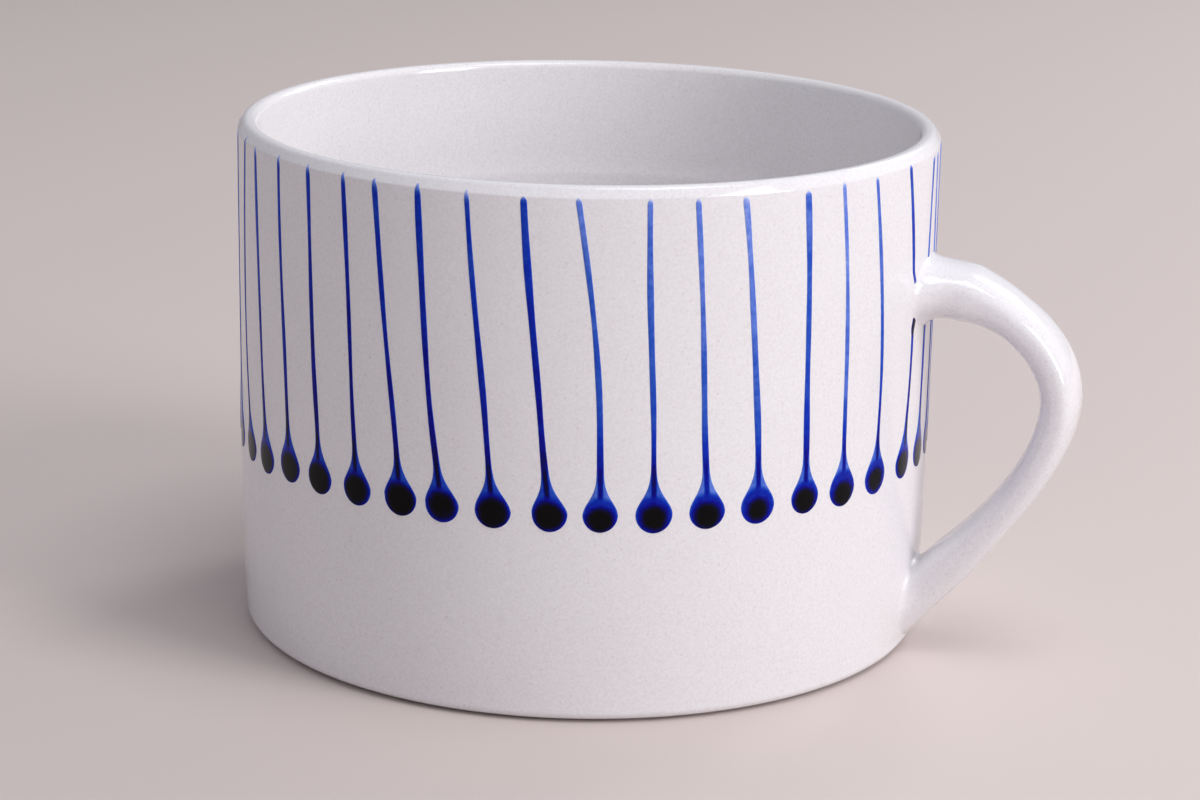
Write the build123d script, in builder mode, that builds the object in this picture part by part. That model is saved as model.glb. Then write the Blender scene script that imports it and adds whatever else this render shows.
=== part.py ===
from build123d import *
import math
import os

# A wide, straight-sided stoneware mug with a pulled strap handle. The clay cup and the handle are
# joined with slip, coated with clear glaze, and decorated with strokes of cobalt glaze: each is a
# round drop with a thin tail trailed up to the lip.
#
# All sizes are in millimetres. The origin is on the cup's axis, on the plane the mug stands on,
# +Z is up and the handle points along +X.

# The cup's overall sizes, over the glaze
rim_diameter = 105.0
height = 77.0

# Clay
lip_clay = 2.4
wall_clay = 3.4
floor_clay = 4.5
draw_in = 1.0
draw_start = 17.0
draw_blend = 40.0
base_corner = 1.4
inside_corner = 11.0
lip_outer_round = 1.15
lip_inner_round = 0.9
thick_wall_below = 58.0

# The foot ring, which stays bare clay
foot_outer_radius = 48.6
foot_width = 5.2
foot_step = 1.0
recess_depth = 1.8
foot_round = 0.4
wiped_margin = 0.4

# Glaze and slip
glaze = 0.3
slip = 0.5

# The handle: heights of its two roots above the ground, and how far out its middle line runs
upper_root_height = 55.2
lower_root_height = 7.8
handle_reach = 20.9
handle_width = 12.3
handle_thickness = 5.0
upper_root_width = 17.0
upper_root_depth = 8.2
lower_root_width = 13.4
lower_root_depth = 7.6
upper_root_inset = 2.0
lower_root_inset = 4.0

# The strokes of cobalt, which stand a little proud of the clear glaze
stroke_count = 44
first_bearing = -12.9
stroke_relief = 0.12
drop_diameter = 4.9
drop_height = 31.2
tail_width = 0.95
stroke_gap_below_rim = 2.0
# The brush's unevenness, stroke after stroke, which comes round twice: how far each drop stands
# from an even spacing, how far its tail drifts back on the way up, and how far its middle bows
drop_shifts = (
    (1.8, 0.6, 0.2, 0.3, -0.3, -0.6, -0.8, -0.8, -0.3, -0.8, -0.8)
    + (0.1, 0.0, -0.1, 0.0, 0.1, 0.6, 0.5, 0.3, 0.6, 1.2, 1.8)
)
tail_drifts = (
    (1.5, 2.5, 2.0, 1.5, 3.5, 2.5, 1.5, 3.5, 4.0, 4.0, 4.0)
    + (4.5, 2.5, 2.5, 2.5, 3.5, 2.5, 2.5, 3.0, 2.5, 1.5, -2.0)
)
tail_bows = (
    (2.4, 1.4, 0.7, 0.4, 0.7, 0.0, 0.0, 0.8, -0.4, -0.2, -0.7)
    + (0.0, -0.2, -0.2, -0.5, -0.7, -2.0, -1.0, 0.4, -0.3, 0.5, 0.0)
)

# Worked out from the sizes above
clay_radius = rim_diameter / 2 - glaze
clay_height = height - glaze
base_radius = clay_radius - draw_in
bore_radius = clay_radius - wall_clay
mouth_radius = clay_radius - lip_clay
crest_radius = clay_radius - lip_clay / 2
floor_top = recess_depth + floor_clay
foot_inner_radius = foot_outer_radius - foot_width
beyond = 2 * (rim_diameter + height)

# The plane that carries the cup's half sections, on the side opposite the handle
section_plane = Plane(origin=(0, 0, 0), x_dir=(-1, 0, 0), z_dir=(0, 1, 0))

os.makedirs("parts", exist_ok=True)


def write(part, name):
    part.label = name
    export_step(part, f"parts/{name}.step")


def corner(sketch, radius, level):
    """The sketch's corner at this radius and height."""
    return sketch.vertices().sort_by_distance(Vertex(radius, level, 0))[0]


# Half sections are drawn with x as the radius and y as the height

with BuildSketch() as clay_section:
    with BuildLine():
        Polyline(
            (0, recess_depth),
            (foot_inner_radius, recess_depth),
            (foot_inner_radius, 0),
            (foot_outer_radius, 0),
            (foot_outer_radius, foot_step),
            (base_radius, foot_step),
            (clay_radius, draw_start),
            (clay_radius, clay_height),
            (mouth_radius, clay_height),
            (bore_radius, thick_wall_below),
            (bore_radius, floor_top),
            (0, floor_top),
            close=True,
        )
    make_face()
    fillet(corner(clay_section, clay_radius, draw_start), draw_blend)
    fillet(corner(clay_section, base_radius, foot_step), base_corner)
    fillet(corner(clay_section, bore_radius, floor_top), inside_corner)
    fillet(corner(clay_section, clay_radius, clay_height), lip_outer_round)
    fillet(corner(clay_section, mouth_radius, clay_height), lip_inner_round)
    fillet(corner(clay_section, foot_outer_radius, 0), foot_round)
    fillet(corner(clay_section, foot_inner_radius, 0), foot_round)

with BuildSketch() as coat_section:
    add(clay_section.sketch)
    offset(amount=glaze)
    add(clay_section.sketch, mode=Mode.SUBTRACT)
    Rectangle(beyond, beyond, align=(Align.MIN, Align.CENTER), mode=Mode.INTERSECT)


def filled_cup(coat):
    """The cup's outside as one solid without its hollow, grown by a coat."""
    with BuildPart() as filled:
        with BuildSketch(section_plane):
            add(clay_section.sketch)
            Rectangle(crest_radius, clay_height - lip_outer_round, align=(Align.MIN, Align.MIN))
            if coat:
                offset(amount=coat)
            Rectangle(beyond, beyond, align=(Align.MIN, Align.CENTER), mode=Mode.INTERSECT)
        revolve(axis=Axis.Z)
    return filled.part


# The cup: jiggered stoneware with a foot ring
with BuildPart() as body:
    with BuildSketch(section_plane):
        add(clay_section.sketch)
    revolve(axis=Axis.Z)
write(body.part, "body")

# Glaze poured inside, as far as the crest of the lip
with BuildPart() as glaze_inside:
    with BuildSketch(section_plane):
        add(coat_section.sketch)
        with Locations((0, floor_top - glaze)):
            Rectangle(crest_radius, beyond, align=(Align.MIN, Align.MIN), mode=Mode.INTERSECT)
    revolve(axis=Axis.Z)
write(glaze_inside.part, "glaze_inside")

# Glaze in the recess under the floor, wiped off the foot ring
with BuildPart() as glaze_base:
    with BuildSketch(section_plane):
        add(coat_section.sketch)
        with Locations((0, recess_depth)):
            Rectangle(
                foot_inner_radius - wiped_margin,
                recess_depth,
                align=(Align.MIN, Align.MAX),
                mode=Mode.INTERSECT,
            )
    revolve(axis=Axis.Z)
write(glaze_base.part, "glaze_base")


# The handle's middle line, in the plane Y = 0, as distances out from the clay wall and heights
root_span = upper_root_height - lower_root_height
handle_points = [
    (-upper_root_inset, upper_root_height),
    (0.53 * handle_reach, lower_root_height + 0.955 * root_span),
    (0.86 * handle_reach, lower_root_height + 0.845 * root_span),
    (handle_reach, lower_root_height + 0.65 * root_span),
    (0.91 * handle_reach, lower_root_height + 0.475 * root_span),
    (0.67 * handle_reach, lower_root_height + 0.305 * root_span),
    (-lower_root_inset, lower_root_height - 0.96 * lower_root_inset),
]
with BuildLine(Plane.XZ) as handle_line:
    Spline(
        [(clay_radius + out, level) for out, level in handle_points],
        tangents=[(1, -0.06), (-0.72, -0.69)],
    )

# Where the strap's sections stand along that line, with their widths and thicknesses
strap_sections = [
    (0.0, upper_root_width, upper_root_depth + 1),
    (0.03, upper_root_width, upper_root_depth),
    (0.085, handle_width + 1.6, handle_thickness + 1.3),
    (0.17, handle_width, handle_thickness),
    (0.33, handle_width, handle_thickness),
    (0.5, handle_width, handle_thickness + 0.2),
    (0.66, handle_width, handle_thickness - 0.2),
    (0.8, handle_width - 0.3, handle_thickness - 0.3),
    (0.89, handle_width, handle_thickness + 0.9),
    (0.95, lower_root_width, lower_root_depth),
    (1.0, lower_root_width, lower_root_depth - 2),
]


def strap(coat):
    """The strap from inside the wall to inside the wall, grown by a coat."""
    with BuildPart() as blank:
        for along, width, thickness in strap_sections:
            centre = handle_line.line @ along
            heading = handle_line.line % along
            with BuildSketch(Plane(origin=centre, x_dir=(0, 1, 0), z_dir=heading)):
                Ellipse(width / 2 + coat, thickness / 2 + coat)
        loft()
    return blank.part


bare_strap = strap(0)
glazed_strap = strap(glaze)
bare_cup = filled_cup(0)
slipped_cup = filled_cup(slip)

# The handle: a pulled strap, cut to the wall at both roots
with BuildPart() as handle:
    add(bare_strap)
    add(slipped_cup, mode=Mode.SUBTRACT)
write(handle.part, "handle")

# The slip that joins each root to the wall
with BuildPart() as slip_joints:
    add(bare_strap)
    add(slipped_cup, mode=Mode.INTERSECT)
    add(bare_cup, mode=Mode.SUBTRACT)
lower_slip, upper_slip = slip_joints.part.solids().sort_by(Axis.Z)
write(lower_slip, "lower_slip_joint")
write(upper_slip, "upper_slip_joint")

# Glaze over the handle and its joints
with BuildPart() as glaze_handle:
    add(glazed_strap)
    add(bare_strap, mode=Mode.SUBTRACT)
    add(bare_cup, mode=Mode.SUBTRACT)
write(glaze_handle.part, "glaze_handle")

# Clear glaze outside, from the crest of the lip to the wiped foot ring, open at the handle's roots
with BuildPart() as glaze_outside:
    with BuildSketch(section_plane):
        with Locations((crest_radius, 2 * foot_step)):
            Rectangle(beyond, beyond, align=(Align.MIN, Align.MIN))
        with Locations((foot_outer_radius + wiped_margin, foot_step - glaze)):
            Rectangle(beyond, foot_step + glaze, align=(Align.MIN, Align.MIN))
        add(coat_section.sketch, mode=Mode.INTERSECT)
    revolve(axis=Axis.Z)
    add(glazed_strap, mode=Mode.SUBTRACT)
write(glaze_outside.part, "glaze_outside")

# The thin layer on the glaze in which the strokes lie
with BuildPart() as stroke_layer:
    with BuildSketch(Plane.XY.offset(draw_start)):
        Circle(rim_diameter / 2 + stroke_relief)
        Circle(rim_diameter / 2, mode=Mode.SUBTRACT)
    extrude(amount=height - stroke_gap_below_rim / 2 - draw_start)
    add(glazed_strap, mode=Mode.SUBTRACT)


def stroke_blank(bearing, drift, bow):
    """One stroke's outline carried outwards from the cup's axis."""
    radius = drop_diameter / 2
    length = height - stroke_gap_below_rim - drop_height
    neck = 2.4 * radius
    half_tail = tail_width / 2

    def middle(level):
        share = level / length
        return -drift * share + 4 * bow * share * (1 - share)

    def side_curves(side):
        """One side's shoulder and tail, from the drop upwards."""
        shoulder = (side * 0.866 * radius, 0.5 * radius)
        waist = (middle(neck) + side * half_tail, neck)
        top = (middle(length) + side * 0.8 * half_tail, length)
        rise = (length - neck) / 2
        slope = (-drift + 4 * bow * (1 - 2 * neck / length)) / length
        Bezier(
            shoulder,
            (side * 0.5 * radius, 1.1 * radius),
            (waist[0] - slope * 0.5 * radius, 1.9 * radius),
            waist,
        )
        Bezier(waist, (waist[0] + slope * rise, neck + rise), top)
        return shoulder, top

    turn = math.radians(bearing)
    outward = (math.cos(turn), math.sin(turn), 0)
    sideways = (-math.sin(turn), math.cos(turn), 0)
    with BuildPart() as blank:
        with BuildSketch(Plane(origin=(0, 0, drop_height), x_dir=sideways, z_dir=outward)):
            with BuildLine():
                right_shoulder, right_top = side_curves(1)
                left_shoulder, left_top = side_curves(-1)
                ThreePointArc(left_shoulder, (0, -radius), right_shoulder)
                Line(right_top, left_top)
            make_face()
        extrude(amount=rim_diameter)
    return blank.part


# The cobalt strokes, one after another round the mug, each fused to the clear glaze
for number in range(stroke_count):
    turn = number % len(drop_shifts)
    shift = math.degrees(drop_shifts[turn] / (rim_diameter / 2))
    bearing = first_bearing - number * 360 / stroke_count + shift
    with BuildPart() as stroke:
        add(stroke_layer.part)
        add(stroke_blank(bearing, tail_drifts[turn], tail_bows[turn]), mode=Mode.INTERSECT)
    write(stroke.part, f"stroke_{number + 1:02d}")
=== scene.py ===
import math
import random

import bmesh
import bpy
from mathutils import Matrix, Vector
from mathutils.geometry import interpolate_bezier


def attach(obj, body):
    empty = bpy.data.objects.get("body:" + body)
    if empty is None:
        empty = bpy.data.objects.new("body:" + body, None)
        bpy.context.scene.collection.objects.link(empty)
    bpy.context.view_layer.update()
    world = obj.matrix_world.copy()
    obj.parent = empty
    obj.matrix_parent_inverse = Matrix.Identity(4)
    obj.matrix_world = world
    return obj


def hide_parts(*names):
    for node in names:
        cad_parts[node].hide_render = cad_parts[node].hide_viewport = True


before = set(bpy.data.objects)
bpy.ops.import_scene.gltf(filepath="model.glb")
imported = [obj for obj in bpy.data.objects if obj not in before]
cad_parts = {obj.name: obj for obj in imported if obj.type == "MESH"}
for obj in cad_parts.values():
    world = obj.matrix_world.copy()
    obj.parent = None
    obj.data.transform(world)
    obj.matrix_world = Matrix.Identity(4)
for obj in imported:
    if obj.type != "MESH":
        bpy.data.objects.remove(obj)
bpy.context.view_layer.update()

# ---- Clear glaze over the outside of the cup -------------------------------------------------
# A thin coat of glossy off-white glaze, poured over jiggered stoneware. It runs from the crest of
# the lip down to the edge wiped clean above the foot ring, and the iron in the clay shows through
# it as very fine buff specks.
mm = 0.001
glaze_thickness = 0.3 * mm
wall_radius = 52.5 * mm
rim_height = 77.0 * mm
lip_crest_radius = 51.0 * mm
shoulder_height = 75.3 * mm
shoulder_round = 0.6 * mm
facet_angle = 34
draw_in_height = 22.0 * mm
draw_in_run = 20.2 * mm
base_draw_in = 0.65 * mm
base_wall_radius = wall_radius - base_draw_in
base_corner_radius = 1.35 * mm
glaze_foot_height = 0.35 * mm
glaze_foot_radius = 49.2 * mm
turned_steps = 256


def arc_points(centre, radius, start, end, count):
    """Points of a half section along an arc, from one angle to another in degrees."""
    points = []
    for step in range(count + 1):
        angle = math.radians(start + (end - start) * step / count)
        points.append((centre[0] + radius * math.cos(angle), centre[1] + radius * math.sin(angle)))
    return points


def straight_points(start, end, count):
    """Points of a half section along a straight run, without its first point."""
    return [
        (start[0] + (end[0] - start[0]) * s / count, start[1] + (end[1] - start[1]) * s / count)
        for s in range(1, count + 1)
    ]


def turned_on_wheel(name, section, material, sharp_degrees=40):
    """A piece turned about the cup's axis from a closed half section of (radius, height) points."""
    shape = bmesh.new()
    points = [shape.verts.new((radius, 0, level)) for radius, level in section]
    edges = [shape.edges.new(pair) for pair in zip(points, points[1:] + points[:1])]
    bmesh.ops.spin(
        shape,
        geom=points + edges,
        axis=(0, 0, 1),
        cent=(0, 0, 0),
        angle=2 * math.pi,
        steps=turned_steps,
        use_merge=True,
        use_normal_flip=False,
    )
    return finished_piece(name, shape, material, sharp_degrees)


def finished_piece(name, shape, material, sharp_degrees=40):
    """A smooth-shaded object made from a closed shape, with its harder edges kept sharp."""
    bmesh.ops.remove_doubles(shape, verts=shape.verts, dist=1e-6)
    bmesh.ops.recalc_face_normals(shape, faces=shape.faces)
    for edge in shape.edges:
        if len(edge.link_faces) == 2:
            edge.smooth = edge.calc_face_angle() < math.radians(sharp_degrees)
    for face in shape.faces:
        face.smooth = True
    mesh = bpy.data.meshes.new(name)
    shape.to_mesh(mesh)
    shape.free()
    mesh.materials.append(material)
    piece = bpy.data.objects.new(name, mesh)
    bpy.context.scene.collection.objects.link(piece)
    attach(piece, "root")
    return piece


def new_node(tree, kind, **inputs):
    """A node in a tree, with its unlinked inputs set by name."""
    node = tree.nodes.new(kind)
    for key, value in inputs.items():
        node.inputs[key.replace("_", " ")].default_value = value
    return node


def speckled_glaze_group():
    """The glaze's colour, roughness and fine unevenness, shared by all its pieces."""
    group = bpy.data.node_groups.new("speckled_glaze", "ShaderNodeTree")
    face = group.interface
    face.new_socket("Body Colour", in_out="INPUT", socket_type="NodeSocketColor")
    face.new_socket("Colour", in_out="OUTPUT", socket_type="NodeSocketColor")
    face.new_socket("Roughness", in_out="OUTPUT", socket_type="NodeSocketFloat")
    face.new_socket("Height", in_out="OUTPUT", socket_type="NodeSocketFloat")
    link = group.links.new
    given = group.nodes.new("NodeGroupInput")
    place = group.nodes.new("ShaderNodeTexCoord")

    # Broad, faint clouding where the coat is a little thicker or thinner
    cloud = new_node(group, "ShaderNodeTexNoise", Scale=38.0, Detail=4.0, Roughness=0.55)
    link(place.outputs["Object"], cloud.inputs["Vector"])
    cloud_span = new_node(group, "ShaderNodeMapRange", From_Min=0.3, From_Max=0.7, To_Min=0.0)
    cloud_span.inputs["To Max"].default_value = 0.22
    link(cloud.outputs["Fac"], cloud_span.inputs["Value"])
    clouded = group.nodes.new("ShaderNodeMix")
    clouded.data_type = "RGBA"
    clouded.inputs["B"].default_value = (0.74, 0.70, 0.715, 1)
    link(cloud_span.outputs["Result"], clouded.inputs["Factor"])
    link(given.outputs["Body Colour"], clouded.inputs["A"])

    # Close grain, a fraction of a millimetre across
    grain = new_node(group, "ShaderNodeTexNoise", Scale=2400.0, Detail=2.0, Roughness=0.6)
    link(place.outputs["Object"], grain.inputs["Vector"])
    grain_span = new_node(group, "ShaderNodeMapRange", From_Min=0.35, From_Max=0.72)
    grain_span.inputs["To Max"].default_value = 0.24
    link(grain.outputs["Fac"], grain_span.inputs["Value"])
    grained = group.nodes.new("ShaderNodeMix")
    grained.data_type = "RGBA"
    grained.inputs["B"].default_value = (0.50, 0.45, 0.43, 1)
    link(grain_span.outputs["Result"], grained.inputs["Factor"])
    link(clouded.outputs["Result"], grained.inputs["A"])

    # Scattered iron specks
    speck = new_node(group, "ShaderNodeTexVoronoi", Scale=1150.0, Randomness=1.0)
    link(place.outputs["Object"], speck.inputs["Vector"])
    speck_edge = new_node(group, "ShaderNodeMapRange", From_Min=0.10, From_Max=0.24)
    speck_edge.inputs["To Min"].default_value = 1.0
    speck_edge.inputs["To Max"].default_value = 0.0
    link(speck.outputs["Distance"], speck_edge.inputs["Value"])
    speck_tint = group.nodes.new("ShaderNodeSeparateColor")
    link(speck.outputs["Color"], speck_tint.inputs["Color"])
    few = new_node(group, "ShaderNodeMapRange", From_Min=0.55, From_Max=1.0)
    few.inputs["To Max"].default_value = 0.22
    link(speck_tint.outputs["Red"], few.inputs["Value"])
    speck_mask = group.nodes.new("ShaderNodeMath")
    speck_mask.operation = "MULTIPLY"
    link(speck_edge.outputs["Result"], speck_mask.inputs[0])
    link(few.outputs["Result"], speck_mask.inputs[1])
    specked = group.nodes.new("ShaderNodeMix")
    specked.data_type = "RGBA"
    specked.inputs["B"].default_value = (0.30, 0.22, 0.17, 1)
    link(speck_mask.outputs["Value"], specked.inputs["Factor"])
    link(grained.outputs["Result"], specked.inputs["A"])

    # A glossy skin with slow ripples and a finer unevenness on them
    ripple = new_node(group, "ShaderNodeTexNoise", Scale=95.0, Detail=2.0, Roughness=0.4)
    link(place.outputs["Object"], ripple.inputs["Vector"])
    skin = new_node(group, "ShaderNodeTexNoise", Scale=700.0, Detail=2.0, Roughness=0.5)
    link(place.outputs["Object"], skin.inputs["Vector"])
    skin_part = group.nodes.new("ShaderNodeMath")
    skin_part.operation = "MULTIPLY_ADD"
    skin_part.inputs[1].default_value = 0.05
    link(skin.outputs["Fac"], skin_part.inputs[0])
    link(ripple.outputs["Fac"], skin_part.inputs[2])
    rough = new_node(group, "ShaderNodeMapRange", From_Min=0.3, From_Max=0.7, To_Min=0.045)
    rough.inputs["To Max"].default_value = 0.10
    link(cloud.outputs["Fac"], rough.inputs["Value"])

    out = group.nodes.new("NodeGroupOutput")
    link(specked.outputs["Result"], out.inputs["Colour"])
    link(rough.outputs["Result"], out.inputs["Roughness"])
    link(skin_part.outputs["Value"], out.inputs["Height"])
    return group


speckled_glaze = speckled_glaze_group()


def clear_glaze_material(name, body_colour, ripple=0.10):
    """Glossy clear glaze over clay of this colour."""
    material = bpy.data.materials.new(name)
    material.use_nodes = True
    tree = material.node_tree
    shader = tree.nodes["Principled BSDF"]
    shader.inputs["IOR"].default_value = 1.5
    group = tree.nodes.new("ShaderNodeGroup")
    group.node_tree = speckled_glaze
    group.inputs["Body Colour"].default_value = body_colour
    bump = new_node(tree, "ShaderNodeBump", Strength=ripple, Distance=0.0006)
    tree.links.new(group.outputs["Colour"], shader.inputs["Base Color"])
    tree.links.new(group.outputs["Roughness"], shader.inputs["Roughness"])
    tree.links.new(group.outputs["Height"], bump.inputs["Height"])
    tree.links.new(bump.outputs["Normal"], shader.inputs["Normal"])
    return material


glaze_white = (0.815, 0.80, 0.835, 1)
outer_glaze = clear_glaze_material("clear_glaze_outside", glaze_white)

# From the crest of the lip over its sloping facet, down the wall, and in over the base corner
draw_in_steps = 16
shoulder_centre = (wall_radius - shoulder_round, shoulder_height)
base_corner_centre = (base_wall_radius - base_corner_radius, 1.7 * mm)
outer_section = [(lip_crest_radius, rim_height)]
outer_section += arc_points((50.95 * mm, 75.95 * mm), 1.05 * mm, 84, facet_angle, 9)
outer_section += arc_points(shoulder_centre, shoulder_round, facet_angle, 0, 8)
outer_section += straight_points(
    (wall_radius, shoulder_height), (wall_radius, draw_in_height), 24
)
for step in range(1, draw_in_steps + 1):
    fall = step / draw_in_steps
    outer_section.append(
        (wall_radius - base_draw_in * fall**2, draw_in_height - draw_in_run * fall)
    )
outer_section += arc_points(base_corner_centre, base_corner_radius, 0, -88, 14)[1:]
outer_section.append((glaze_foot_radius, glaze_foot_height))
clay_side = [
    (glaze_foot_radius, glaze_foot_height + glaze_thickness),
    (base_wall_radius - 1.4 * mm, 0.8 * mm),
    (base_wall_radius - glaze_thickness, 2.2 * mm),
    (wall_radius - glaze_thickness, draw_in_height),
    (wall_radius - glaze_thickness, 75.0 * mm),
    (lip_crest_radius, rim_height - glaze_thickness),
]
glaze_outside = turned_on_wheel("glaze_outside_skin", outer_section + clay_side, outer_glaze)
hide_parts("glaze_outside")

# ---- Clear glaze inside the cup --------------------------------------------------------------
# The same glaze poured inside and out again. It thins over the edge of the lip, follows the wall,
# which thickens below the lip, and rounds into a flat floor.
inner_glaze = clear_glaze_material("clear_glaze_inside", (0.83, 0.81, 0.83, 1), ripple=0.12)
floor_height = 6.6 * mm
bore_radius = 48.5 * mm
inside_round = 10.7 * mm
full_wall_height = 58.0 * mm
round_top = floor_height + inside_round
flat_floor_radius = bore_radius - inside_round
inner_section = [(lip_crest_radius, rim_height)]
inner_section += arc_points((50.7 * mm, 75.8 * mm), 1.2 * mm, 97, 176, 12)
inner_section += straight_points(inner_section[-1], (48.75 * mm, 60.0 * mm), 10)
inner_section += arc_points((54.0 * mm, full_wall_height), 5.5 * mm, 170, 180, 4)
inner_section += straight_points((bore_radius, full_wall_height), (bore_radius, round_top), 16)
inner_section += arc_points((flat_floor_radius, round_top), inside_round, 0, -90, 20)[1:]
inner_section += straight_points(
    (flat_floor_radius, floor_height), (0, floor_height - 0.15 * mm), 12
)
under_side = [
    (0, floor_height - glaze_thickness - 0.1 * mm),
    (flat_floor_radius, floor_height - glaze_thickness),
    (bore_radius - 3.2 * mm, floor_height + 2.9 * mm),
    (bore_radius + glaze_thickness, round_top),
    (bore_radius + glaze_thickness, full_wall_height),
    (49.8 * mm, 75.6 * mm),
    (lip_crest_radius, rim_height - glaze_thickness),
]
glaze_inside = turned_on_wheel("glaze_inside_skin", inner_section + under_side, inner_glaze)
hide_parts("glaze_inside")

# ---- The clay cup and its bare foot ring ------------------------------------------------------
# Jiggered stoneware, hidden under glaze except for the foot ring, which is wiped clean before
# firing so that it does not stick to the shelf. The bare clay is pale buff, matt and gritty.


def bare_clay_material(name, colour):
    """Matt, gritty stoneware of uneven tone, with iron specks."""
    material = bpy.data.materials.new(name)
    material.use_nodes = True
    tree = material.node_tree
    link = tree.links.new
    shader = tree.nodes["Principled BSDF"]
    shader.inputs["IOR"].default_value = 1.45
    place = tree.nodes.new("ShaderNodeTexCoord")
    tone = new_node(tree, "ShaderNodeTexNoise", Scale=260.0, Detail=5.0, Roughness=0.6)
    link(place.outputs["Object"], tone.inputs["Vector"])
    tones = tree.nodes.new("ShaderNodeValToRGB")
    tones.color_ramp.elements[0].position = 0.3
    tones.color_ramp.elements[0].color = tuple(0.78 * part for part in colour) + (1,)
    tones.color_ramp.elements[1].position = 0.7
    tones.color_ramp.elements[1].color = colour + (1,)
    link(tone.outputs["Fac"], tones.inputs["Fac"])
    grit = new_node(tree, "ShaderNodeTexVoronoi", Scale=900.0, Randomness=1.0)
    link(place.outputs["Object"], grit.inputs["Vector"])
    grit_edge = new_node(tree, "ShaderNodeMapRange", From_Min=0.12, From_Max=0.28)
    grit_edge.inputs["To Min"].default_value = 0.5
    grit_edge.inputs["To Max"].default_value = 0.0
    link(grit.outputs["Distance"], grit_edge.inputs["Value"])
    dotted = tree.nodes.new("ShaderNodeMix")
    dotted.data_type = "RGBA"
    dotted.inputs["B"].default_value = (0.24, 0.16, 0.10, 1)
    link(grit_edge.outputs["Result"], dotted.inputs["Factor"])
    link(tones.outputs["Color"], dotted.inputs["A"])
    link(dotted.outputs["Result"], shader.inputs["Base Color"])
    rough = new_node(tree, "ShaderNodeMapRange", From_Min=0.3, From_Max=0.7, To_Min=0.72)
    rough.inputs["To Max"].default_value = 0.9
    link(tone.outputs["Fac"], rough.inputs["Value"])
    link(rough.outputs["Result"], shader.inputs["Roughness"])
    bump = new_node(tree, "ShaderNodeBump", Strength=0.5, Distance=0.0002)
    link(tone.outputs["Fac"], bump.inputs["Height"])
    link(bump.outputs["Normal"], shader.inputs["Normal"])
    return material


foot_clay = bare_clay_material("bare_stoneware", (0.66, 0.57, 0.47))
recess_height = 1.8 * mm
foot_inner_radius = 43.7 * mm
foot_outer_radius = 48.2 * mm
foot_inner_round = 0.45 * mm
foot_outer_round = 0.4 * mm
# From the middle of the recess to the foot ring, round it, then up the outside and back down
clay_section = [(0, recess_height)]
clay_section += straight_points((0, recess_height), (43.0 * mm, recess_height), 10)
clay_section += arc_points((42.8 * mm, 1.4 * mm), 0.4 * mm, 90, 0, 4)
clay_section += arc_points(
    (foot_inner_radius, foot_inner_round), foot_inner_round, 180, 270, 6
)
clay_section += straight_points((foot_inner_radius, 0), (foot_outer_radius, 0), 5)
clay_section += arc_points((foot_outer_radius, foot_outer_round), foot_outer_round, -80, 0, 6)
clay_section += [
    (48.65 * mm, 0.7 * mm),
    (50.2 * mm, 0.75 * mm),
    (51.4 * mm, 2.4 * mm),
    (52.1 * mm, 22.0 * mm),
    (52.1 * mm, 74.8 * mm),
    (51.0 * mm, 76.55 * mm),
    (50.0 * mm, 75.2 * mm),
    (48.9 * mm, 58.0 * mm),
    (48.9 * mm, 17.0 * mm),
    (45.6 * mm, 9.1 * mm),
    (37.6 * mm, 6.1 * mm),
    (0, 6.0 * mm),
]
clay_cup = turned_on_wheel("clay_cup", clay_section, foot_clay, sharp_degrees=50)
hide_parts("body")

# ---- Glaze in the recess under the floor ------------------------------------------------------
# The hollow inside the foot ring carries the same glaze, dipped with the rest and wiped back to a
# rounded edge just inside the ring.
recess_glaze = clear_glaze_material("clear_glaze_recess", (0.80, 0.77, 0.755, 1), ripple=0.16)
recess_face = recess_height - glaze_thickness
recess_edge_radius = 42.2 * mm
recess_edge_round = 0.2 * mm
recess_section = [(0, recess_face)]
recess_section += straight_points((0, recess_face), (recess_edge_radius, recess_face), 12)
recess_section += arc_points(
    (recess_edge_radius, recess_face + recess_edge_round), recess_edge_round, -60, 60, 6
)
recess_section += [(42.0 * mm, 1.95 * mm), (0, 1.95 * mm)]
glaze_recess = turned_on_wheel("glaze_recess_skin", recess_section, recess_glaze, sharp_degrees=60)
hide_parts("glaze_base")

# ---- The pulled strap handle: clay, slip joints and glaze -------------------------------------
# A strap pulled by hand, bent into a loop and stuck to the wall with slip. Each end is smoothed
# out on to the wall with a wet finger, so both roots flare and run tangent to the cup.
upper_root_centre = Vector((wall_radius, 0, 54.9 * mm))
lower_root_centre = Vector((wall_radius, 0, 8.1 * mm))
strap_outermost = Vector((72.95, 0, 39.4)) * mm
strap_half_width = 6.15 * mm
strap_half_depth = 2.85 * mm
clay_inset = glaze_thickness + 0.05 * mm
ring_points = 72
root_steps = 16
root_sink = 0.12 * mm


def strap_line():
    """Points along the middle of the strap between its two flared ends."""
    upper = interpolate_bezier(
        Vector((58.6, 0, 54.85)) * mm,
        Vector((65.3, 0, 53.2)) * mm,
        Vector((72.95, 0, 47.5)) * mm,
        strap_outermost,
        30,
    )
    lower = interpolate_bezier(
        strap_outermost,
        Vector((72.8, 0, 31.7)) * mm,
        Vector((66.0, 0, 22.2)) * mm,
        Vector((57.9, 0, 13.5)) * mm,
        34,
    )
    return [Vector(point) for point in upper + lower[1:]]


def flat_oval(angle, squareness, half_width, half_height):
    """A point of an oval with flattened sides, which is an ellipse at a squareness of 2."""
    power = 2 / squareness
    across = math.copysign(abs(math.cos(angle)) ** power, math.cos(angle)) * half_width
    along = math.copysign(abs(math.sin(angle)) ** power, math.sin(angle)) * half_height
    return across, along


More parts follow.
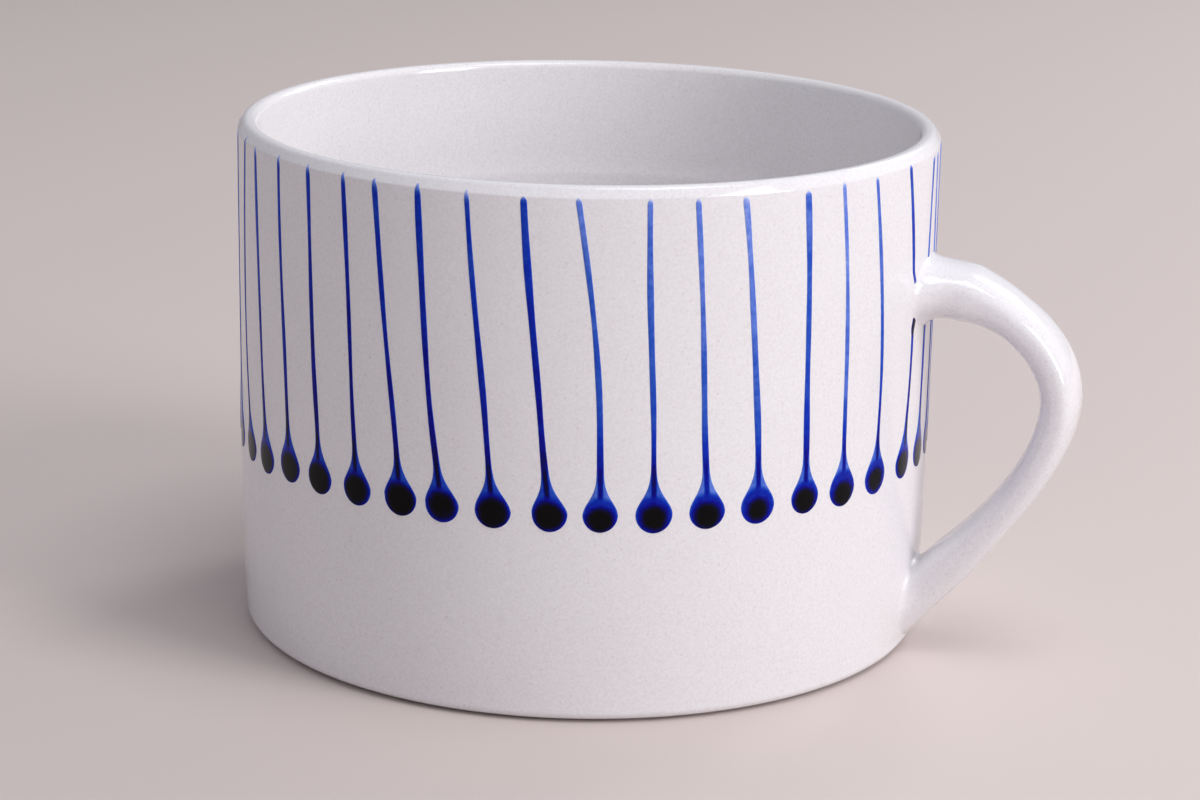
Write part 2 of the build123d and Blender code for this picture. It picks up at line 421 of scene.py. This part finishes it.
def strap_section(share, angle, coat):
    """One point of the strap's section: across the strap and through its thickness."""
    # It is stoutest at the upper root, slimmest below the bend, and swells again at the lower root
    upper_spread = max(0, 1 - share / 0.14) ** 2
    upper_swell = max(0, 1 - share / 0.17) ** 1.2
    slimming = math.sin(math.pi * min(1, max(0, (share - 0.55) / 0.4)))
    lower_swell = max(0, (share - 0.82) / 0.18) ** 2
    half_width = strap_half_width + 0.5 * mm * upper_spread + coat
    half_depth = strap_half_depth + 1.05 * mm * upper_swell + coat
    half_depth += 0.5 * mm * lower_swell - 0.2 * mm * slimming
    return flat_oval(angle, 2.7, half_width, half_depth)


def on_wall(across, level, lift):
    """The point of the cup's wall at this sideways distance and height, lifted off it."""
    draw = base_draw_in * max(0, (draw_in_height - level) / draw_in_run) ** 2
    bearing = across / wall_radius
    out = wall_radius - draw + lift
    return Vector((out * math.cos(bearing), out * math.sin(bearing), level))


def root_rings(last_ring, heading, centre, half_width, half_height, reach, hug, coat):
    """Rings that carry the strap's last section out on to the wall, tangent to both.

    Each point leaves the strap along its heading for the reach, and lies along the wall from the
    hug, which is a share of the flare, out to the flare's edge.
    """
    is_lower = centre is lower_root_centre
    curves = []
    for number, start in enumerate(last_ring):
        angle = 2 * math.pi * number / ring_points
        away_y, away_z = flat_oval(angle, 2.1, half_width + coat, half_height + coat)
        if is_lower:
            away_z = -away_z
        # Below the lower root there is hardly any fillet: the strap runs straight into the wall
        under = max(0.0, -away_z / half_height) if is_lower else 0.0
        close = hug + (0.9 - hug) * under
        lift = 0.2 * mm - root_sink + 0.75 * mm * under
        inner = on_wall(away_y * close, centre.z + away_z * close, lift)
        end = on_wall(away_y, centre.z + away_z, -root_sink)
        curves.append((start, start + heading * reach, inner, end))
    rings = []
    for step in range(1, root_steps + 1):
        t = step / root_steps
        near, mid_near, mid_far, far = (
            (1 - t) ** 3,
            3 * t * (1 - t) ** 2,
            3 * t * t * (1 - t),
            t**3,
        )
        rings.append([a * near + b * mid_near + c * mid_far + d * far for a, b, c, d in curves])
    return rings


def strap_rings(coat):
    """All rings of the strap, from the upper root to the lower one, grown by a coat."""
    line = strap_line()
    rings = []
    for number, centre in enumerate(line):
        before = line[max(0, number - 1)]
        after = line[min(len(line) - 1, number + 1)]
        heading = (after - before).normalized()
        outward = Vector((0, 1, 0)).cross(heading) * -1
        ring = []
        for turn in range(ring_points):
            angle = 2 * math.pi * turn / ring_points
            across, through = strap_section(number / (len(line) - 1), angle, coat)
            ring.append(centre + Vector((0, across, 0)) + outward * through)
        rings.append(ring)
    first_heading = (line[0] - line[1]).normalized()
    last_heading = (line[-1] - line[-2]).normalized()
    upper = root_rings(
        rings[0], first_heading, upper_root_centre, 9.9 * mm, 5.5 * mm, 3.0 * mm, 0.8, coat
    )
    lower = root_rings(
        rings[-1], last_heading, lower_root_centre, 8.2 * mm, 6.7 * mm, 4.4 * mm, 0.68, coat
    )
    return upper[::-1] + rings + lower


def swept_through(name, rings, material):
    """A closed piece through rings, made by extruding the first ring to each of the others.

    Each new point goes to the place in the next ring of the point that it was extruded from.
    """
    shape = bmesh.new()
    made = bmesh.ops.create_circle(shape, cap_ends=False, segments=len(rings[0]), radius=0.01)
    loop = list(made["verts"])
    for point, place in zip(loop, rings[0]):
        point.co = place
    edges = list(shape.edges)
    bmesh.ops.contextual_create(shape, geom=edges)
    for ring in rings[1:]:
        grown = bmesh.ops.extrude_edge_only(shape, edges=edges)
        edges = [item for item in grown["geom"] if isinstance(item, bmesh.types.BMEdge)]
        edges = [edge for edge in edges if len(edge.link_faces) == 1]
        copies = [item for item in grown["geom"] if isinstance(item, bmesh.types.BMVert)]
        originals = {}
        for point in copies:
            for edge in point.link_edges:
                other = edge.other_vert(point)
                if other in loop:
                    originals[point] = loop.index(other)
        ordered = [None] * len(loop)
        for point, slot_number in originals.items():
            ordered[slot_number] = point
            point.co = ring[slot_number]
        loop = ordered
    bmesh.ops.contextual_create(shape, geom=edges)
    return finished_piece(name, shape, material, sharp_degrees=60)


strap_clay = swept_through("clay_strap", strap_rings(-clay_inset), foot_clay)
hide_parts("handle")

handle_glaze = clear_glaze_material("clear_glaze_handle", glaze_white)
strap_glaze = swept_through("glaze_handle_skin", strap_rings(0), handle_glaze)
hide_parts("glaze_handle")


slip_clay = bare_clay_material("fired_slip", (0.70, 0.63, 0.55))
slip_bedding = 0.3 * mm
slip_height = 0.12 * mm


def slip_joint(name, centre, half_width, half_height):
    """A thin pad of slip between a root of the strap and the wall."""
    rings = []
    for lift in (-slip_bedding, 0.0, slip_height):
        ring = []
        for turn in range(ring_points):
            angle = 2 * math.pi * turn / ring_points
            across = half_width * math.cos(angle)
            ring.append(on_wall(across, centre.z + half_height * math.sin(angle), lift))
        rings.append(ring)
    return swept_through(name, rings, slip_clay)


upper_slip = slip_joint("slip_under_upper_root", upper_root_centre, 6.0 * mm, 3.2 * mm)
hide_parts("upper_slip_joint")
lower_slip = slip_joint("slip_under_lower_root", lower_root_centre, 5.5 * mm, 3.6 * mm)
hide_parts("lower_slip_joint")

# ---- The cobalt strokes ------------------------------------------------------------------------
# Forty-four strokes of cobalt glaze. Each is a blob let fall from a slip trailer and drawn up to
# the lip in one pull. The blob pools almost black with a crisp royal blue edge, its shoulders run
# thin and light, and the tail fades where the trailer left the wall.
stroke_count = 44
first_bearing = -12.9
drop_radius = 2.55 * mm
drop_height = 31.0 * mm
stroke_top = 75.35 * mm
tail_half_width = 0.45 * mm
drift_length = 43.8 * mm
dome_height = 0.11 * mm
edge_height = 0.015 * mm
bedded_depth = 0.04 * mm
across_steps = 18
along_steps = 120
low_strokes = (15, 16, 17)
# On the side away from the handle the trailer left the wall later, over the edge of the lip
feathered_strokes = range(9, 30)
# Of every eighteen strokes, these run thin and pale in their shoulders and tails
# Their paleness is partly thinner cobalt and partly painted light on the lit right side
thin_and_lit_strokes = range(1, 8)
# Sideways shift of the drop, lean of the tail and bow of the tail, in millimetres, for twenty-two
# strokes, which the twenty-two after them repeat
drop_shifts = (
    (1.8, 0.6, 0.2, 0.3, -0.3, -0.6, -0.8, -0.8, -0.3, -0.8, -0.8)
    + (0.1, 0.0, -0.1, 0.0, 0.1, 0.6, 0.5, 0.3, 0.6, 1.2, 1.8)
)
tail_drifts = (
    (1.5, 2.5, 2.0, 1.5, 3.5, 2.5, 1.5, 3.5, 4.0, 4.0, 4.0)
    + (4.5, 2.5, 2.5, 2.5, 3.5, 2.5, 2.5, 3.0, 2.5, 1.5, -2.0)
)
tail_bows = (
    (2.4, 1.4, 0.7, 0.4, 0.7, 0.0, 0.0, 0.8, -0.4, -0.2, -0.7)
    + (0.0, -0.2, -0.2, -0.5, -0.7, -2.0, -1.0, 0.4, -0.3, 0.5, 0.0)
)


def cobalt_material():
    """Cobalt glaze whose colour follows how deep it lies, from pale wash to near-black pool."""
    material = bpy.data.materials.new("cobalt_glaze_pooled")
    material.use_nodes = True
    tree = material.node_tree
    link = tree.links.new
    shader = tree.nodes["Principled BSDF"]
    shader.inputs["IOR"].default_value = 1.2
    depth = tree.nodes.new("ShaderNodeAttribute")
    depth.attribute_name = "cobalt_depth"
    place = tree.nodes.new("ShaderNodeTexCoord")
    mottle = new_node(tree, "ShaderNodeTexNoise", Scale=1100.0, Detail=4.0, Roughness=0.65)
    link(place.outputs["Object"], mottle.inputs["Vector"])
    mottle_span = new_node(tree, "ShaderNodeMapRange", From_Min=0.3, From_Max=0.7, To_Min=-0.05)
    mottle_span.inputs["To Max"].default_value = 0.05
    link(mottle.outputs["Fac"], mottle_span.inputs["Value"])
    drift = new_node(tree, "ShaderNodeTexNoise", Scale=190.0, Detail=2.0, Roughness=0.5)
    link(place.outputs["Object"], drift.inputs["Vector"])
    drift_span = new_node(tree, "ShaderNodeMapRange", From_Min=0.3, From_Max=0.7, To_Min=-0.05)
    drift_span.inputs["To Max"].default_value = 0.05
    link(drift.outputs["Fac"], drift_span.inputs["Value"])
    uneven = tree.nodes.new("ShaderNodeMath")
    uneven.operation = "ADD"
    link(mottle_span.outputs["Result"], uneven.inputs[0])
    link(drift_span.outputs["Result"], uneven.inputs[1])
    total = tree.nodes.new("ShaderNodeMath")
    total.operation = "ADD"
    link(depth.outputs["Fac"], total.inputs[0])
    link(uneven.outputs["Value"], total.inputs[1])
    tones = tree.nodes.new("ShaderNodeValToRGB")
    ramp = tones.color_ramp
    ramp.elements[0].position = 0.0
    ramp.elements[0].color = (0.70, 0.71, 0.79, 1)
    ramp.elements[1].position = 1.0
    ramp.elements[1].color = (0.0004, 0.0002, 0.0008, 1)
    for position, colour in (
        (0.12, (0.42, 0.50, 0.84, 1)),
        (0.26, (0.13, 0.22, 0.70, 1)),
        (0.42, (0.022, 0.085, 0.48, 1)),
        (0.58, (0.001, 0.025, 0.42, 1)),
        (0.73, (0.0005, 0.001, 0.24, 1)),
        (0.86, (0.0008, 0.0004, 0.045, 1)),
    ):
        ramp.elements.new(position).color = colour
    link(total.outputs["Value"], tones.inputs["Fac"])
    link(tones.outputs["Color"], shader.inputs["Base Color"])
    rough = new_node(tree, "ShaderNodeMapRange", From_Min=0.3, From_Max=0.7, To_Min=0.10)
    rough.inputs["To Max"].default_value = 0.18
    link(mottle.outputs["Fac"], rough.inputs["Value"])
    link(rough.outputs["Result"], shader.inputs["Roughness"])
    bump = new_node(tree, "ShaderNodeBump", Strength=0.08, Distance=0.0003)
    link(mottle.outputs["Fac"], bump.inputs["Height"])
    link(bump.outputs["Normal"], shader.inputs["Normal"])
    return material


cobalt_glaze = cobalt_material()


def smooth_share(value, start, end):
    """0 before the start, 1 after the end, and an even ease between them."""
    share = max(0.0, min(1.0, (value - start) / (end - start)))
    return share * share * (3 - 2 * share)


def stroke_skin(level, lift):
    """Radius and height of a point lifted off the outer glaze, which turns in at the lip."""
    if level < shoulder_height:
        return wall_radius + lift, level
    over = (level - shoulder_height) / shoulder_round
    facet = math.radians(facet_angle)
    tilt = min(over, facet)
    radius = wall_radius - shoulder_round + (shoulder_round + lift) * math.cos(tilt)
    height = shoulder_height + (shoulder_round + lift) * math.sin(tilt)
    along = max(0.0, over - facet) * shoulder_round
    return radius - along * math.sin(facet), height + along * math.cos(facet)


def cobalt_stroke(number):
    """One stroke: a domed drop and a thin ridge of a tail, bedded in the clear glaze."""
    chance = random.Random(700 + number)
    turn = number % len(drop_shifts)
    shift = drop_shifts[turn] * mm
    drift = tail_drifts[turn] * mm
    bow = tail_bows[turn] * mm
    radius = drop_radius * chance.uniform(0.96, 1.07)
    centre_height = drop_height - (0.7 * mm if number in low_strokes else 0.0)
    squash = chance.uniform(0.97, 1.05)
    tail = tail_half_width * chance.uniform(0.85, 1.12)
    feathered = number in feathered_strokes
    top = stroke_top + chance.uniform(-0.35, 0.35) * mm + (0.75 * mm if feathered else 0.0)
    tip_length = 2.2 * mm if feathered else 0.9 * mm
    lean = chance.uniform(-0.12, 0.12)
    wave_one, wave_two = chance.uniform(0, 6.28), chance.uniform(0, 6.28)
    # How pale the stroke runs: partly thinner cobalt, partly painted light on strokes facing the
    # lamp
    thin_and_lit_amount = chance.uniform(0.45, 1.0) if number % 18 in thin_and_lit_strokes else chance.uniform(0.0, 0.35)
    pool_size = chance.uniform(0.84, 0.95) - 0.24 * thin_and_lit_amount
    pool_drop = 0.06 + chance.uniform(0.12, 0.30) * thin_and_lit_amount
    # The stroke that meets the handle's upper root gathers there in a small dark hook
    joint_pool = 0.30 if number == 0 else 0.0
    gather_rise = 20.6 * mm
    darkest_rise = 20.4 * mm
    hook_rise = 24.0 * mm
    bearing = math.radians(first_bearing) - number * 2 * math.pi / stroke_count
    length = top - centre_height

    def half_width(rise):
        """Half the stroke's width at this height above the middle of its drop."""
        if rise < 0:
            return radius * math.sqrt(max(0.0, 1 - (rise / (radius * squash)) ** 2))
        swell = (radius - tail) * math.exp(-((rise / (1.13 * radius)) ** 1.9))
        share = rise / length
        waver = 1 + 0.10 * math.sin(7 * share + wave_one) + 0.06 * math.sin(19 * share + wave_two)
        tip = math.sqrt(max(0.0, 1 - smooth_share(rise, length - tip_length, length) ** 2))
        off_gather = smooth_share(abs(rise - gather_rise), 0.5 * mm, 1.8 * mm)
        gathered = 1 + 2 * joint_pool * (1 - off_gather)
        return (tail * waver * gathered + swell) * (0.3 + 0.7 * tip)

    def middle(rise):
        """How far the stroke's middle line has strayed sideways at this height."""
        share = max(0.0, rise / drift_length)
        gentle = 0.16 * mm * math.sin(5.2 * share + wave_two) * smooth_share(share, 0.05, 0.4)
        off_hook = smooth_share(abs(rise - hook_rise), 2.2 * mm, 4.6 * mm)
        hook = 2.6 * joint_pool * mm * (1 - off_hook)
        return -drift * share + 4 * bow * share * (1 - share) + gentle + hook

    def depth(rise, side):
        """How deep the cobalt lies, at this height and this share of the half width."""
        width = half_width(rise)
        aside = side * width
        off_line = abs(aside - lean * tail)
        from_middle = math.hypot(aside, rise) / radius
        from_pool = math.hypot(aside - 0.4 * lean * radius, rise + pool_drop * radius) / radius
        from_edge = (1 - abs(side)) * width
        pool = 1 - smooth_share(from_pool, pool_size - 0.34, pool_size + 0.24)
        dropped = 0.66 + 0.38 * pool
        # The shoulders run thin beside the line that the trailer left down the middle
        line = 1 - smooth_share(off_line, 0.20 * mm, 0.50 * mm)
        # The pale amount lightens shoulders and tail: thinner cobalt and painted light together
        thin_wash = 0.56 - 0.24 * thin_and_lit_amount
        washed = thin_wash + (0.92 - 0.20 * thin_and_lit_amount - thin_wash) * line
        pulled = 0.80 - 0.12 * thin_and_lit_amount - 0.30 * thin_and_lit_amount * smooth_share(rise, 4 * mm, 16 * mm)
        pulled -= 0.16 * smooth_share(rise, 10 * mm, length)
        in_shoulder = smooth_share(from_middle, 0.80, 1.15) if rise > 0 else 0.0
        in_tail = smooth_share(rise, 2.1 * radius, 3.0 * radius)
        value = dropped + (washed - dropped) * in_shoulder
        value += (pulled - value) * in_tail
        value += joint_pool * (1 - smooth_share(abs(rise - darkest_rise), 0.8 * mm, 2.4 * mm))
        # It pales at its edge and where the tail ends
        rim = smooth_share(from_edge, 0.0, 0.12 * mm)
        fade = smooth_share(length - rise, -0.1 * mm, 0.9 * tip_length)
        return value * (0.72 + 0.28 * rim) * (0.2 + 0.8 * fade)

    # More of the steps go to the drop and its shoulders than to the long tail
    shoulder_rise = 3.2 * radius
    drop_share = 0.36
    below_share = 0.4 * drop_share

    def rise_along(share):
        """Height above the middle of the drop, from this share of the way up the grid."""
        if share < below_share:
            return -radius * squash * math.cos(math.pi / 2 * share / below_share)
        if share < drop_share:
            return (share - below_share) / (drop_share - below_share) * shoulder_rise
        return shoulder_rise + (share - drop_share) / (1 - drop_share) * (length - shoulder_rise)

    shape = bmesh.new()
    depth_map = shape.verts.layers.float.new("cobalt_depth")
    bmesh.ops.create_grid(shape, x_segments=across_steps, y_segments=along_steps, size=1)
    raised = bmesh.ops.extrude_face_region(shape, geom=list(shape.faces))
    upper_points = {item for item in raised["geom"] if isinstance(item, bmesh.types.BMVert)}
    flat_map = shape.loops.layers.uv.new("OFBake")
    for face in shape.faces:
        for corner in face.loops:
            corner[flat_map].uv = (
                0.5 + 0.48 * corner.vert.co.x,
                0.5 + 0.48 * corner.vert.co.y,
            )
    for point in shape.verts:
        side = point.co.x
        rise = rise_along((point.co.y + 1) / 2)
        width = half_width(rise)
        lift = -bedded_depth
        if point in upper_points:
            dome = math.sqrt(max(0.0, 1 - side * side))
            lift = edge_height + min(dome_height, 0.16 * width) * dome
        across = shift + middle(rise) + side * width
        out, level = stroke_skin(centre_height + rise, lift)
        angle = bearing + across / wall_radius
        point[depth_map] = depth(rise, side)
        point.co = (out * math.cos(angle), out * math.sin(angle), level)
    name = f"cobalt_stroke_{number + 1:02d}"
    piece = finished_piece(name, shape, cobalt_glaze, sharp_degrees=70)
    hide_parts(f"stroke_{number + 1:02d}")
    return piece


for number in range(stroke_count):
    cobalt_stroke(number)

# ---- Floor, light and camera -------------------------------------------------------------------
# A plain pale table top under soft daylight from the right, with a faint cool light all round.
# The camera looks a little down on the mug, with the handle on the right.


def soft_light(name, place, target, width, height, power, colour=(1, 1, 1)):
    """A rectangular soft light at a place, facing a target."""
    light = bpy.data.lights.new(name, "AREA")
    light.shape = "RECTANGLE"
    light.size = width
    light.size_y = height
    light.energy = power
    light.color = colour
    lamp = bpy.data.objects.new(name, light)
    lamp.location = place
    lamp.rotation_euler = (Vector(target) - Vector(place)).to_track_quat("-Z", "Y").to_euler()
    bpy.context.scene.collection.objects.link(lamp)
    return lamp


ground = bmesh.new()
bmesh.ops.create_grid(ground, x_segments=1, y_segments=1, size=3)
ground_mesh = bpy.data.meshes.new("table_top")
ground.to_mesh(ground_mesh)
ground.free()
table_paint = bpy.data.materials.new("table_paint")
table_paint.use_nodes = True
table_shader = table_paint.node_tree.nodes["Principled BSDF"]
table_shader.inputs["Base Color"].default_value = (0.635, 0.555, 0.53, 1)
table_shader.inputs["Roughness"].default_value = 0.75
ground_mesh.materials.append(table_paint)
table_top = bpy.data.objects.new("table_top", ground_mesh)
# Just under the foot ring, so that the two flat faces never share a plane
table_top.location.z = -0.02 * mm
bpy.context.scene.collection.objects.link(table_top)

sky = bpy.data.worlds.new("studio")
sky.use_nodes = True
sky.node_tree.nodes["Background"].inputs["Color"].default_value = (0.86, 0.87, 0.94, 1)
sky.node_tree.nodes["Background"].inputs["Strength"].default_value = 0.44
bpy.context.scene.world = sky

look_at = Vector((0, 0, 0.0385))
soft_light("window_right", (1.0, -0.30, 0.54), look_at, 0.42, 0.85, 8, (1.0, 0.99, 0.985))
soft_light("window_back_right", (0.45, 0.95, 0.65), look_at, 0.35, 0.5, 3.5, (1.0, 0.99, 1.0))
soft_light("fill_front", (-0.12, -1.2, 0.7), look_at, 0.22, 0.9, 0.7, (0.97, 0.97, 1.0))
soft_light("skylight", (0.35, -0.15, 1.2), look_at, 0.6, 0.6, 4.5, (0.98, 0.98, 1.0))
bpy.context.scene.view_settings.view_transform = "Standard"

camera_distance = 0.4817
camera_right = 0.002256
camera_down = 0.005452
tilt = 0.2721
turn_about = math.radians(16)
roll = 0.0195
back = Vector(
    (math.sin(turn_about) * math.cos(tilt), -math.cos(turn_about) * math.cos(tilt), math.sin(tilt))
)
level_right = Vector((math.cos(turn_about), math.sin(turn_about), 0))
level_up = back.cross(level_right)
right = level_right * math.cos(roll) + level_up * math.sin(roll)
up = level_up * math.cos(roll) - level_right * math.sin(roll)
camera_place = look_at + back * camera_distance + right * camera_right - up * camera_down
facing = Matrix((right, up, back)).transposed().to_4x4()
lens = bpy.data.cameras.new("camera")
lens.sensor_width = 36
lens.lens = 94.34
lens.clip_start = 0.01
camera = bpy.data.objects.new("camera", lens)
camera.matrix_world = Matrix.Translation(camera_place) @ facing
bpy.context.scene.collection.objects.link(camera)
bpy.context.scene.camera = camera
bpy.context.view_layer.update()
